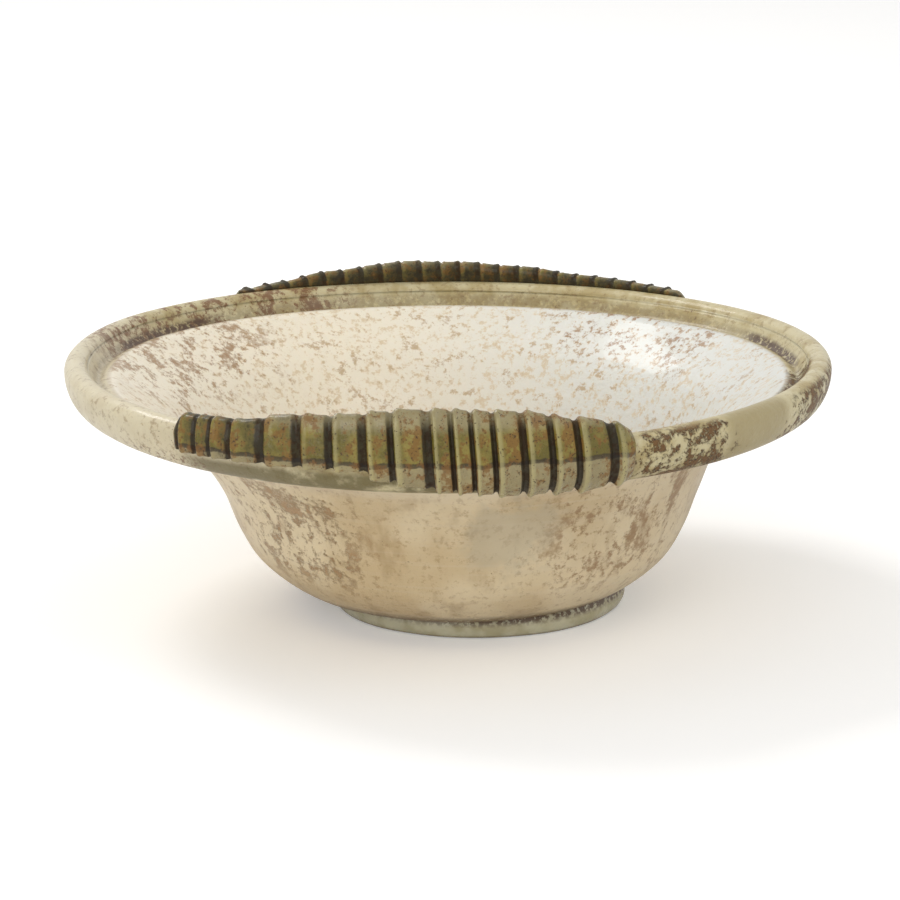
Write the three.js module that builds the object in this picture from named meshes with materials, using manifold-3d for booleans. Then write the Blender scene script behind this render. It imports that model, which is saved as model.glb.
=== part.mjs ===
// A blown glass dish with a folded rim, two crimped handles and a foot ring.
//
// Millimetres, +Z up. The origin is on the table, under the centre of the rim, so the dish stands
// on Z = 0. The handles lie at -Y (front) and +Y (back).
//
// The dish is made of four pieces of glass: the blown bowl, whose rim is folded outward and down
// into a hollow collar, the coil laid round its base as a foot, and two thick trails pressed on
// the collar and crimped with pincers as handles.

import * as THREE from "three";
import { mergeVertices } from "three/addons/utils/BufferGeometryUtils.js";
import Module from "manifold-3d";

// Bowl: overall sizes
const RIM_RADIUS = 90; // widest circle of the collar
const CREST_HEIGHT = 59.9; // top of the rim above the table
const LEDGE_WIDTH = 11.6; // from the collar's widest circle in to the bead round the mouth
const LEDGE_DROP = 4.5; // from the crest down to the bead
const BASE_RADIUS = 27; // where the flat of the base turns up into the wall
const BASE_HEIGHT = 2.5; // underside of that turn above the table
const KICK = 1.1; // rise of the base towards its middle

// Bowl: thicknesses of the glass
const WALL = 1.8;
const BASE_THICKNESS = 2.8;
const COLLAR_WALL = 1.4;

// Collar: the rim folded outward, down and in again, with a hollow inside
const TUBE_WIDTH = 5.7; // across the rounded top
const COLLAR_HEIGHT = 11.2; // from the crest to the lowest point of the fold
const COLLAR_TUCK = 6; // how far the fold's lowest point lies inside the widest circle
const FOLD_RISE = 3.1; // from there up to the edge of the fold, at the wall
const FOLD_SAG = 0.45; // how far the folded part hangs between them
const BEAD_WIDTH = 2; // the bead round the mouth
const BEAD_ROOT = 0.5; // extra glass where the bead leaves the wall
const GROOVE_DEPTH = 1; // between the bead and the collar

// The wall's outline from the turn of the base to the bead, as shares of the way out and up
const WALL_CURVE = [
  [0, 0],
  [0.224, 0.055],
  [0.415, 0.19],
  [0.51, 0.337],
  [0.577, 0.504],
  [0.66, 0.654],
  [0.79, 0.809],
  [1.01, 0.96],
];

// Foot
const FOOT_RADIUS = 35;
const FOOT_WIDTH = 5.6; // of the coil
const FOOT_FLAT = 2.6; // width of the flat ground on its underside
const FOOT_BULGE = 2.6; // height of the coil's widest line
const FOOT_ROUND = 0.6; // how much the coil draws in above and below that line

// Handles: each is a trail on the collar's outer face that stands above the crest. Its upper edge
// rises, and its low edge falls, by so much from the crest at each angle.
const FRONT = {
  name: "front_handle",
  middle: 270, // direction from the centre, in degrees from +X
  start: -36.5, // ends, in degrees from that direction, positive towards +X
  end: 31.5,
  rises: [[-36.5, 2.4], [-27, 3.1], [-15, 5.9], [2, 8.2], [14, 7.5], [24, 4.9], [31.5, 2.2]],
  falls: [[-36.5, 5.6], [-7, 4.9], [-4, 7.1], [7, 9.8], [20, 11.8], [31.5, 9.9]],
  crimps: [-34.8, -31.7, -29.2, -25.8, -20.4, -14.8, -10.4, -5.6, -2, 3.3, 6.1, 8.8, 11.8, 16, 19.8,
    23.5, 28.9],
};
const BACK = {
  name: "back_handle",
  middle: 90,
  start: -41.5,
  end: 36.6,
  rises: [[-41.5, 0.1], [-33, 1.5], [-25, 3.1], [-12, 4.9], [-4, 4.7], [7, 3.8], [17, 2.5], [36.6, 1]],
  falls: [[-41.5, 5.4], [-30, 6.9], [0, 7.9], [25, 7.9], [36.6, 6.9]],
  crimps: [-38.4, -35.2, -32, -28.6, -25.4, -22.2, -18.9, -15.6, -12.4, -9, -5.9, -2.6, 0.7, 3.9, 7.2,
    10.5, 13.8, 17, 20.3, 23.7, 27, 30.2, 33.4],
};
const TRAIL_THICKNESS = 2.3; // of the trail pressed on the collar
const STAND_THICKNESS = 3.4; // of the part above the crest
const CRIMP_HEIGHT = 0.8; // of each ridge left between two bites of the pincers
const CRIMP_HALF_WIDTH = 1.1; // degrees
const CRIMP_SCALLOP = 0.3; // how far each ridge stands above the handle's top edge
const LOWEST_WRAP = 0.97; // share of the collar's fall that a trail can reach round
const LOW_EDGE_SHARE = 0.4; // thickness left at a trail's low edge
const LEAST_STAND = 0.5; // least height of the part above the collar's shoulder
const STATION_GAP = 0.15; // degrees: sections nearer than this to the last one are left out

// Places round a handle's section, as shares of its turn round the collar or as degrees
const SEAT_TURNS = [1, 0.84, 0.66, 0.44, 0.2];
const SKIN_TURNS = [0.3, 0.62, 0.88];
const SHOULDER_DEGREES = [5, 30, 55, 80];

// Hand work: the rim, the body and the foot don't share one axis, and the rim is neither quite
// round nor quite level
const BODY_OFFSET = 3; // the body lies towards +X of the rim
const FOOT_OFFSET = 6.8; // and the foot further
const RIM_SADDLE = 0.75; // the rim is higher at +X and -X and lower at the handles
const RIM_TILT = 0.5; // and higher at -X than at +X
const RIM_OVAL = 0.45; // the rim is that much wider along X, and narrower along Y
const TRUE_BELOW = 0.5; // share of the mouth's height below which the body is true to itself
const RIM_ABOVE = 0.9; // and share above which all belongs to the rim

const SEAT_GAP = 0.3; // between two pieces that touch
const AROUND = 56; // facets round the dish
const WALL_STEPS = 13; // facets up the wall

const material = (color, roughness) =>
  new THREE.MeshStandardMaterial({ color, roughness, metalness: 0 });
const bowlGlass = material(0xd8cbb4, 0.4);
const footGlass = material(0xcfc9ae, 0.3);
const handleGlass = material(0x8a8349, 0.35);

const wasm = await Module();
wasm.setup();

const radians = THREE.MathUtils.degToRad;
const smooth = (x, low, high) => THREE.MathUtils.smoothstep(x, low, high);

/** The value at x of a line through [x, value] pairs, eased between them. */
function along(pairs, x) {
  const last = pairs.length - 1;
  if (x <= pairs[0][0]) return pairs[0][1];
  if (x >= pairs[last][0]) return pairs[last][1];
  const i = pairs.findIndex((pair) => pair[0] > x);
  const [x0, y0] = pairs[i - 1];
  const [x1, y1] = pairs[i];
  return y0 + (y1 - y0) * smooth(x, x0, x1);
}

/** A line moved sideways: to the left of its own direction by distance(share of its length). */
function offset(line, distance) {
  return line.map((point, i) => {
    const before = line[Math.max(i - 1, 0)];
    const after = line[Math.min(i + 1, line.length - 1)];
    const d = new THREE.Vector2().subVectors(after, before).normalize();
    const shift = distance(i / (line.length - 1));
    return new THREE.Vector2(point.x - d.y * shift, point.y + d.x * shift);
  });
}

/** Radius of a line of points at a height, where the line climbs. */
function radiusAt(line, height) {
  for (let i = 1; i < line.length; i += 1) {
    const [a, b] = [line[i - 1], line[i]];
    if ((a.y - height) * (b.y - height) <= 0 && a.y !== b.y) {
      return a.x + ((b.x - a.x) * (height - a.y)) / (b.y - a.y);
    }
  }
  return line[line.length - 1].x;
}

// Sizes that follow from the ones above
const ledgeRadius = RIM_RADIUS - LEDGE_WIDTH;
const ledgeHeight = CREST_HEIGHT - LEDGE_DROP;
const tubeRadius = TUBE_WIDTH / 2;
const tubeCentre = new THREE.Vector2(RIM_RADIUS - tubeRadius, CREST_HEIGHT - tubeRadius);
const foldHeight = CREST_HEIGHT - COLLAR_HEIGHT;

/** The outside of the base and the wall, from the axis up to the underside of the bead. */
function outsideLine() {
  const base = [0, 1 / 3, 2 / 3].map(
    (share) => new THREE.Vector2(share * BASE_RADIUS, BASE_HEIGHT + KICK * (1 - share * share)),
  );
  const wall = WALL_CURVE.map(
    ([out, up]) =>
      new THREE.Vector2(
        THREE.MathUtils.lerp(BASE_RADIUS, ledgeRadius, out),
        THREE.MathUtils.lerp(BASE_HEIGHT, ledgeHeight, up),
      ),
  );
  return base.concat(new THREE.SplineCurve(wall).getPoints(WALL_STEPS));
}

/** The middle of the glass over the bead, the groove and the crest, and down round the fold. */
function rimLine(outside) {
  const half = COLLAR_WALL / 2;
  const bead = [
    new THREE.Vector2(ledgeRadius + 0.5 * BEAD_WIDTH, ledgeHeight - half),
    new THREE.Vector2(ledgeRadius + 1.2 * BEAD_WIDTH, ledgeHeight - half - 0.4 * GROOVE_DEPTH),
    new THREE.Vector2(ledgeRadius + 2 * BEAD_WIDTH, ledgeHeight - half - GROOVE_DEPTH),
  ];
  const crest = [170, 140, 105, 70, 35, 0].map((angle) => {
    const reach = tubeRadius - half;
    return new THREE.Vector2(
      tubeCentre.x + reach * Math.cos(radians(angle)),
      tubeCentre.y + reach * Math.sin(radians(angle)),
    );
  });
  const below = tubeCentre.y - foldHeight;
  const collar = [35, 62, 90].map(
    (angle) =>
      new THREE.Vector2(
        RIM_RADIUS - COLLAR_TUCK + (COLLAR_TUCK - half) * Math.cos(radians(angle)),
        tubeCentre.y - (below - half) * Math.sin(radians(angle)),
      ),
  );
  const edgeHeight = foldHeight + FOLD_RISE;
  const edge = new THREE.Vector2(radiusAt(outside, edgeHeight) + SEAT_GAP + COLLAR_WALL, edgeHeight);
  const between = new THREE.Vector2().addVectors(collar[2], edge).multiplyScalar(0.5);
  between.y -= FOLD_SAG;
  return [...bead, ...crest, ...collar, between, edge];
}

/** The section of the bowl, as one closed ribbon from the axis out to the edge of the fold. */
function bowlSection(outside) {
  const thickness = (share) => {
    const wallShare = smooth(share, 1 / 8, 3 / 8);
    return THREE.MathUtils.lerp(BASE_THICKNESS, WALL, wallShare);
  };
  const inside = offset(outside, thickness);
  const rim = rimLine(outside);
  const upper = offset(rim, () => COLLAR_WALL / 2);
  const under = offset(rim, (share) => -COLLAR_WALL / 2 - BEAD_ROOT * (1 - smooth(share, 0, 0.15)));
  inside[0].x = 0;
  const section = [...outside, ...under, ...upper.reverse(), ...inside.reverse()];
  section.push(section[0].clone());
  return section;
}

/** Moves points off the true round: the body to one side, and the rim out of level. */
function handWork(geometry) {
  const position = geometry.getAttribute("position");
  for (let i = 0; i < position.count; i += 1) {
    const [x, y, z] = [position.getX(i), position.getY(i), position.getZ(i)];
    const rimShare = smooth(z, TRUE_BELOW * ledgeHeight, RIM_ABOVE * ledgeHeight);
    const angle = Math.atan2(y, x);
    const lift = RIM_SADDLE * Math.cos(2 * angle) - RIM_TILT * Math.cos(angle);
    const stretch = (RIM_OVAL / RIM_RADIUS) * rimShare;
    position.setXYZ(
      i,
      x * (1 + stretch) + BODY_OFFSET * (1 - rimShare),
      y * (1 - stretch),
      z + lift * rimShare,
    );
  }
  return geometry;
}

/** Turns a closed section round the Z axis, with +Z up and the faces pointing out. */
function turned(section) {
  const geometry = new THREE.LatheGeometry(section, AROUND);
  geometry.rotateX(Math.PI / 2);
  geometry.deleteAttribute("normal");
  geometry.deleteAttribute("uv");
  const position = geometry.getAttribute("position");
  for (let i = 0; i < position.count; i += 1) {
    const onAxis = Math.hypot(position.getX(i), position.getY(i)) < 1e-6;
    if (onAxis) position.setXYZ(i, 0, 0, position.getZ(i));
  }
  return withoutSlivers(mergeVertices(geometry, 1e-4));
}

/** Leaves out the triangles that a section's points on the axis shrink to nothing. */
function withoutSlivers(geometry) {
  const index = Array.from(geometry.getIndex().array);
  const kept = [];
  for (let i = 0; i < index.length; i += 3) {
    const [a, b, c] = index.slice(i, i + 3);
    if (a !== b && b !== c && c !== a) kept.push(a, b, c);
  }
  geometry.setIndex(kept);
  return geometry;
}

function toSolid(geometry) {
  const mesh = new wasm.Mesh({
    numProp: 3,
    vertProperties: Float32Array.from(geometry.getAttribute("position").array),
    triVerts: Uint32Array.from(geometry.getIndex().array),
  });
  return new wasm.Manifold(mesh);
}

function fromSolid(solid) {
  const mesh = solid.getMesh();
  const geometry = new THREE.BufferGeometry();
  geometry.setAttribute("position", new THREE.BufferAttribute(mesh.vertProperties, 3));
  geometry.setIndex(new THREE.BufferAttribute(mesh.triVerts, 1));
  return geometry;
}

/** The coil of the foot, with its top shaped by the underside of the bowl that it carries. */
function footGeometry(outside) {
  const inner = FOOT_RADIUS - FOOT_WIDTH;
  const middle = FOOT_RADIUS - FOOT_WIDTH / 2;
  const top = radiusTop(outside, FOOT_RADIUS + Math.abs(FOOT_OFFSET - BODY_OFFSET)) + 1;
  const section = [
    [middle - FOOT_FLAT / 2, 0],
    [middle + FOOT_FLAT / 2, 0],
    [FOOT_RADIUS - FOOT_ROUND, FOOT_BULGE / 3],
    [FOOT_RADIUS, FOOT_BULGE],
    [FOOT_RADIUS - FOOT_ROUND, 2 * FOOT_BULGE],
    [FOOT_RADIUS - 2 * FOOT_ROUND, top],
    [inner + 2 * FOOT_ROUND, top],
    [inner, FOOT_BULGE],
    [inner + FOOT_ROUND, FOOT_BULGE / 3],
    [middle - FOOT_FLAT / 2, 0],
  ].map(([r, z]) => new THREE.Vector2(r, z));
  const coil = turned(section).translate(FOOT_OFFSET, 0, 0);

  const seat = offset(outside.filter((point) => point.y < TRUE_BELOW * ledgeHeight), () => -SEAT_GAP);
  seat[0].x = 0;
  const rise = seat[seat.length - 1].y;
  const space = turned([...seat, new THREE.Vector2(0, rise), seat[0].clone()]);
  space.translate(BODY_OFFSET, 0, 0);
  return fromSolid(toSolid(coil).subtract(toSolid(space)));
}

/** Height of a climbing line at a radius. */
function radiusTop(line, radius) {
  const i = line.findIndex((point) => point.x > radius);
  const [a, b] = [line[i - 1], line[i]];
  return a.y + ((b.y - a.y) * (radius - a.x)) / (b.x - a.x);
}

/** A point outside the collar's oval face, by its turn downward: a gap off it, and then a thickness. */
function besideCollar(gap, thickness, turn) {
  const out = COLLAR_TUCK + gap + thickness;
  const down = tubeCentre.y - foldHeight + gap + LOW_EDGE_SHARE * thickness;
  return [RIM_RADIUS - COLLAR_TUCK + out * Math.cos(turn), tubeCentre.y - down * Math.sin(turn)];
}

/** A ridge of 1 at a crimp that falls to 0 on both sides of it. */
function ridge(handle, angle) {
  const reach = handle.crimps.map((crimp) => Math.abs(angle - crimp) / CRIMP_HALF_WIDTH);
  return Math.max(0, 1 - Math.min(...reach));
}

/** The handle's section at an angle, as [radius, height] pairs: up its inner side and down outside. */
function handleSection(handle, angle) {
  const bump = ridge(handle, angle);
  const thick = TRAIL_THICKNESS + CRIMP_HEIGHT * bump;
  const reach = along(handle.falls, angle) - tubeRadius;
  const drop = Math.max(reach, 0) / (tubeCentre.y - foldHeight + SEAT_GAP);
  const lowest = Math.asin(Math.min(drop, LOWEST_WRAP));
  const seat = SEAT_TURNS.map((share) => besideCollar(SEAT_GAP, 0, share * lowest));
  const skin = SKIN_TURNS.map((share) => besideCollar(SEAT_GAP, thick, share * lowest));
  const edge = besideCollar(SEAT_GAP, 0.5 * thick, lowest);
  const shoulder = SHOULDER_DEGREES.map((turn) => [
    tubeCentre.x + (tubeRadius + SEAT_GAP) * Math.cos(radians(turn)),
    tubeCentre.y + (tubeRadius + SEAT_GAP) * Math.sin(radians(turn)),
  ]);
  const [innerRadius, innerHeight] = shoulder[shoulder.length - 1];
  const top = CREST_HEIGHT + along(handle.rises, angle) + CRIMP_SCALLOP * bump;
  const rise = Math.max(top - innerHeight, LEAST_STAND);
  const outerRadius = innerRadius + STAND_THICKNESS + 0.6 * CRIMP_HEIGHT * bump;
  return [
    ...seat,
    ...shoulder,
    [innerRadius + 0.1, innerHeight + 0.75 * rise],
    [innerRadius + 0.3 * STAND_THICKNESS, innerHeight + rise],
    [innerRadius + 0.7 * STAND_THICKNESS, innerHeight + rise],
    [outerRadius, innerHeight + 0.7 * rise],
    [RIM_RADIUS + SEAT_GAP + 0.95 * thick, tubeCentre.y + 0.5 * tubeRadius],
    ...skin,
    edge,
  ];
}

/** Joins a row of equal sections into one closed skin with flat ends. */
function skinned(sections) {
  const count = sections[0].length;
  const points = sections.flat();
  const index = [];
  for (let i = 0; i + 1 < sections.length; i += 1) {
    for (let k = 0; k < count; k += 1) {
      const [a, b] = [i * count + k, i * count + ((k + 1) % count)];
      index.push(a, b, a + count, b, b + count, a + count);
    }
  }
  const flat = sections[0].map((point) => new THREE.Vector2(Math.hypot(point.x, point.y), point.z));
  const cap = THREE.ShapeUtils.triangulateShape(flat, []);
  const last = (sections.length - 1) * count;
  for (const [a, b, c] of cap) {
    index.push(a, b, c, last + a, last + c, last + b);
  }
  const geometry = new THREE.BufferGeometry().setFromPoints(points);
  geometry.setIndex(index);
  return geometry;
}

/** A crimped trail on the collar, with sections at its ends and at both feet of each crimp. */
function handleGeometry(handle) {
  const stations = [handle.start, handle.end];
  for (const crimp of handle.crimps) {
    stations.push(crimp - CRIMP_HALF_WIDTH, crimp, crimp + CRIMP_HALF_WIDTH);
  }
  const angles = stations
    .filter((angle) => angle >= handle.start && angle <= handle.end)
    .sort((a, b) => a - b)
    .filter((angle, i, all) => i === 0 || angle - all[i - 1] > STATION_GAP);
  const sections = angles.map((angle) => {
    const turn = radians(handle.middle + (handle.middle > 180 ? angle : -angle));
    return handleSection(handle, angle).map(
      ([r, z]) => new THREE.Vector3(r * Math.cos(turn), r * Math.sin(turn), z),
    );
  });
  return skinned(handle.middle > 180 ? sections : sections.reverse());
}

function named(name, geometry, glass) {
  const mesh = new THREE.Mesh(geometry, glass);
  mesh.name = name;
  return mesh;
}

const outside = outsideLine();

const dish = new THREE.Group();
dish.name = "glass_dish";
dish.add(named("bowl", handWork(turned(bowlSection(outside))), bowlGlass));
dish.add(named("foot_ring", footGeometry(outside), footGlass));
for (const handle of [FRONT, BACK]) {
  dish.add(named(handle.name, handWork(handleGeometry(handle)), handleGlass));
}

export default dish;
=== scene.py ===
import math

import bmesh
import bpy
import numpy as np
from mathutils import Matrix, Vector


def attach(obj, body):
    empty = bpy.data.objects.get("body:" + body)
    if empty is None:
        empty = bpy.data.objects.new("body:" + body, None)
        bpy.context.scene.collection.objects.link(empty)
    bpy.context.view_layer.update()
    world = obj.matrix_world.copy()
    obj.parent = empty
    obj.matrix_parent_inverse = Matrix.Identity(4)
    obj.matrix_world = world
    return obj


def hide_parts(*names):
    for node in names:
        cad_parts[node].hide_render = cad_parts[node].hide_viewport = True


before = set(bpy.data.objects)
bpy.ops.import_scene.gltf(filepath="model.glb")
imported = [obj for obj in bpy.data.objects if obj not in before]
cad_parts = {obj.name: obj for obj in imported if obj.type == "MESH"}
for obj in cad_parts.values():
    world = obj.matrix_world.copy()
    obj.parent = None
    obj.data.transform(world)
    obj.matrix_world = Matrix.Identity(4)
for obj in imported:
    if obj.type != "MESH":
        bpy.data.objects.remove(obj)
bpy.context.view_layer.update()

MM = 0.001  # the sizes below are in millimetres, and Blender's are in metres

# The view: where the circles of the rim and the foot put the camera, and a pale table top under
# three soft lamps. The key lamp is behind to the left, and shines on the inner wall at the right.
CAMERA_PLACE = Vector((0.0849, -0.9427, 0.2742))
CAMERA_AIM = Vector((-0.0867, 0.9660, -0.2436))
CAMERA_ROLL = math.radians(-0.53)
CAMERA_LENS = 164.2
CAMERA_SENSOR = 36.0
LAMPS = {  # place in metres, side in metres, watts
    "key": ((-0.62, 0.5, 0.95), 0.4, 5.0),
    "fill": ((0.85, -0.45, 0.95), 0.8, 2.6),
    "front": ((-0.35, -1.1, 0.55), 0.6, 3.4),
}
LAMP_AIM = Vector((0, 0, 0.03))
AMBIENT = 0.6
WHITE = (1, 1, 1, 1)
TABLE_SHADE = (248, 247, 245)
TABLE_ROUGHNESS = 0.8
TABLE_GLOSS = 0.1
FLOOR_GLOW = 0.22  # what the camera sees on the floor beside the light of the lamps
FLOOR_SIDE = 8.0
FLOOR_DROP = 1e-4  # keeps the table top just under the foot


class Reading:
    """A socket of a node, so that sums on it can be written as they are on paper."""

    def __init__(self, sheet, socket):
        self.sheet = sheet
        self.socket = socket

    def __add__(self, other):
        return self.sheet.maths("ADD", self, other)

    def __sub__(self, other):
        return self.sheet.maths("SUBTRACT", self, other)

    def __rsub__(self, other):
        return self.sheet.maths("SUBTRACT", other, self)

    def __mul__(self, other):
        return self.sheet.maths("MULTIPLY", self, other)

    def __truediv__(self, other):
        return self.sheet.maths("DIVIDE", self, other)

    __radd__ = __add__
    __rmul__ = __mul__


class Sheet:
    """The nodes of one material, world or shape."""

    def __init__(self, tree):
        self.tree = tree
        self.tree.nodes.clear()

    def node(self, kind, settings=None, sockets=None, output=0):
        """Adds a node: its settings first, then a value or a link for each of its sockets."""
        node = self.tree.nodes.new(kind)
        for name, value in (settings or {}).items():
            setattr(node, name, value)
        for name, value in (sockets or {}).items():
            if isinstance(value, Reading):
                self.tree.links.new(value.socket, node.inputs[name])
            else:
                node.inputs[name].default_value = value
        return Reading(self, node.outputs[output]) if len(node.outputs) else None

    def maths(self, operation, *values):
        return self.node("ShaderNodeMath", {"operation": operation}, dict(enumerate(values)))

    def step(self, value, low, high):
        """0 up to low and 1 from high on, or the other way round where low is the higher."""
        sockets = {"Value": value, "From Min": low, "From Max": high}
        return self.node("ShaderNodeMapRange", {"interpolation_type": "SMOOTHSTEP"}, sockets)

    def band(self, value, middle, half):
        """1 near the middle, and 0 from half away on."""
        return self.step(self.maths("ABSOLUTE", value - middle), half, 0.5 * half)

    def noise(self, place, scale, detail=3.0, rough=0.5):
        sockets = {"Vector": place, "Scale": scale, "Detail": detail, "Roughness": rough}
        return self.node("ShaderNodeTexNoise", {"noise_dimensions": "3D"}, sockets)

    def mix(self, share, first, second):
        return self.node("ShaderNodeMix", {"data_type": "RGBA"}, {0: share, 6: first, 7: second}, 2)

    def point(self, x, y, z):
        return self.node("ShaderNodeCombineXYZ", {}, {0: x, 1: y, 2: z})

    def parts(self, vector):
        split = self.node("ShaderNodeSeparateXYZ", {}, {0: vector}).socket.node
        return [Reading(self, socket) for socket in split.outputs]


def srgb(red, green, blue):
    """A colour as a screen shows it, 0 to 255, in the values that nodes take."""
    shares = (channel / 255 for channel in (red, green, blue))
    return tuple(s / 12.92 if s < 0.04 else ((s + 0.055) / 1.055) ** 2.4 for s in shares) + (1.0,)


def linked(thing):
    bpy.context.scene.collection.objects.link(thing)
    return thing


camera = linked(bpy.data.objects.new("camera", bpy.data.cameras.new("camera")))
camera.data.sensor_fit = "HORIZONTAL"
camera.data.sensor_width = CAMERA_SENSOR
camera.data.lens = CAMERA_LENS
camera.matrix_world = (
    Matrix.Translation(CAMERA_PLACE)
    @ CAMERA_AIM.to_track_quat("-Z", "Y").to_matrix().to_4x4()
    @ Matrix.Rotation(CAMERA_ROLL, 4, "Z")
)
bpy.context.scene.camera = camera
bpy.context.scene.view_settings.view_transform = "Standard"

for lamp_name, (lamp_place, lamp_side, lamp_watts) in LAMPS.items():
    lamp = linked(bpy.data.objects.new(lamp_name, bpy.data.lights.new(lamp_name, "AREA")))
    lamp.data.size = lamp_side
    lamp.data.energy = lamp_watts
    lamp.location = lamp_place
    lamp.rotation_euler = (LAMP_AIM - Vector(lamp_place)).to_track_quat("-Z", "Y").to_euler()

world = bpy.data.worlds.new("studio")
world.use_nodes = True
bpy.context.scene.world = world
air = Sheet(world.node_tree)
ray = air.node("ShaderNodeLightPath").socket.node
seen = air.maths("MAXIMUM", *(Reading(air, ray.outputs[i]) for i in ("Is Camera Ray", "Is Glossy Ray")))
seen = air.maths("MAXIMUM", seen, Reading(air, ray.outputs["Is Transmission Ray"]))
glow = air.node("ShaderNodeBackground", {}, {"Color": WHITE, "Strength": AMBIENT + (1 - AMBIENT) * seen})
air.node("ShaderNodeOutputWorld", {}, {"Surface": glow})

floor_mesh = bpy.data.meshes.new("floor")
reach = FLOOR_SIDE / 2
floor_corners = [
    (corner_x, corner_y, -FLOOR_DROP)
    for corner_x, corner_y in ((-reach, -reach), (reach, -reach), (reach, reach), (-reach, reach))]
floor_mesh.from_pydata(floor_corners, [], [(0, 1, 2, 3)])
floor = linked(bpy.data.objects.new("floor", floor_mesh))
floor_paint = bpy.data.materials.new("table_top")
floor_paint.use_nodes = True
top = Sheet(floor_paint.node_tree)
eye = top.node("ShaderNodeLightPath", output="Is Camera Ray")
matt = top.node("ShaderNodeBsdfPrincipled", {}, {
    "Base Color": srgb(*TABLE_SHADE), "Roughness": TABLE_ROUGHNESS, "Specular IOR Level": TABLE_GLOSS,
    "Emission Color": WHITE, "Emission Strength": FLOOR_GLOW * eye})
top.node("ShaderNodeOutputMaterial", {}, {"Surface": matt})
floor_mesh.materials.append(floor_paint)

# The bowl: one gather of soda glass, blown and opened out, which sank a little to one side. Its
# edge is folded outward, down and in again into a hollow collar, and a bead is tooled round the
# mouth. The soil left it cream and tan, with brown crust on the collar; the paler cream and white
# inside is partly painted light, and the tan outside partly painted shade.
RIM_RADIUS = 90.0
CREST_HEIGHT = 59.9
LEDGE_WIDTH = 11.6  # from the widest circle in to the bead at the mouth
LEDGE_DROP = 4.5  # from the crest down to the bead
BASE_RADIUS = 27.0
BASE_HEIGHT = 2.5
KICK = 1.1  # rise of the base in its middle
WALL = 1.8
BASE_THICKNESS = 2.8
THINNING = (18, 47)  # radii between which the base's thickness goes over to the wall's
COLLAR_WALL = 1.4
TUBE_WIDTH = 5.7  # of the hollow rim, across its crest
CREST_START = 170  # degrees, where the round of the crest begins
COLLAR_HEIGHT = 11.2
COLLAR_TUCK = 6.0
FOLD_RISE = 3.1
FOLD_SAG = 0.45
FOLD_GAP = 0.3
BEAD_WIDTH = 2.0
BEAD_ROOT = 0.5
BEAD_ROOT_END = 0.15  # share of the rim's line at which the bead's root has run out
GROOVE_DEPTH = 1.0
BEAD_CURVE = [(0.5, 0), (1.2, 0.4), (2, 1)]  # out in widths of the bead, down in depths of the groove
WALL_CURVE = [  # the outline from the turn of the base to the bead, as shares of the way out and up
    (0, 0), (0.224, 0.055), (0.415, 0.19), (0.51, 0.337), (0.577, 0.504), (0.66, 0.654), (0.79, 0.809),
    (1.01, 0.96)]
BODY_OFFSET = 3.0  # the body lies towards +X of the rim
RIM_SADDLE = 0.75  # the rim is higher at +X and -X and lower at the handles
RIM_TILT = 0.5  # and higher at -X than at +X
RIM_OVAL = 0.45
TRUE_BELOW = 0.5  # share of the mouth's height below which the body is true to itself
RIM_ABOVE = 0.9  # and above which the glass has the rim's own shape in full
BASE_STEPS = 12
WALL_STEPS = 12
CREST_POINTS = 13
COLLAR_POINTS = 10
RIM_STEPS = 3
BOWL_COLUMNS = 257
BOWL_ROWS = 330
BOWL_WAVE = 0.35  # unevenness of the blown wall
BOWL_WAVE_SCALE = 28.0
NEAR_AXIS = 1e-5  # in metres
MERGED_WITHIN = 1e-6  # in metres

LEDGE_RADIUS = RIM_RADIUS - LEDGE_WIDTH
LEDGE_HEIGHT = CREST_HEIGHT - LEDGE_DROP
TUBE_RADIUS = TUBE_WIDTH / 2
TUBE_R = RIM_RADIUS - TUBE_RADIUS  # how far out and how high the middle of the hollow rim's tube lies
TUBE_Z = CREST_HEIGHT - TUBE_RADIUS
FOLD_HEIGHT = CREST_HEIGHT - COLLAR_HEIGHT


def smooth(x, low, high):
    share = np.clip((np.asarray(x, float) - low) / (high - low), 0, 1)
    return share * share * (3 - 2 * share)


def spline(points, steps, closed=False):
    """Points on a smooth line through the given ones, with so many steps from one to the next."""
    points = np.asarray(points, float)
    before, after = (points[-1:], points[:2]) if closed else (points[:1], points[-1:])
    padded = np.vstack([before, points, after])
    t = np.linspace(0, 1, steps, endpoint=False)[:, None]
    runs = []
    for a, b, c, d in zip(padded, padded[1:], padded[2:], padded[3:]):
        out, into = (c - a) / 2, (d - b) / 2
        cubic = (2 * b - 2 * c + out + into) * t**3 + (3 * c - 3 * b - 2 * out - into) * t**2
        runs.append(cubic + out * t + b)
    return np.vstack(runs if closed else [*runs, points[-1:]])


def beside(line, distances):
    """A line moved to the left of its own direction, by a distance at each point."""
    ahead = np.gradient(line, axis=0)
    ahead /= np.linalg.norm(ahead, axis=1)[:, None]
    return line + np.stack([-ahead[:, 1], ahead[:, 0]], axis=1) * np.asarray(distances)[:, None]


def spaced(line, count):
    """So many points at even steps along a line, and its length."""
    run = np.concatenate([[0], np.cumsum(np.linalg.norm(np.diff(line, axis=0), axis=1))])
    even = np.linspace(0, run[-1], count)
    return np.stack([np.interp(even, run, line[:, 0]), np.interp(even, run, line[:, 1])], axis=1), run


base_shares = np.linspace(0, 1, BASE_STEPS, endpoint=False)
base_line = np.stack([base_shares * BASE_RADIUS, BASE_HEIGHT + KICK * (1 - base_shares**2)], axis=1)
wall_line = spline([
    (BASE_RADIUS + out * (LEDGE_RADIUS - BASE_RADIUS), BASE_HEIGHT + up * (LEDGE_HEIGHT - BASE_HEIGHT))
    for out, up in WALL_CURVE], WALL_STEPS)
outside_line = np.vstack([base_line, wall_line])

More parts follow.
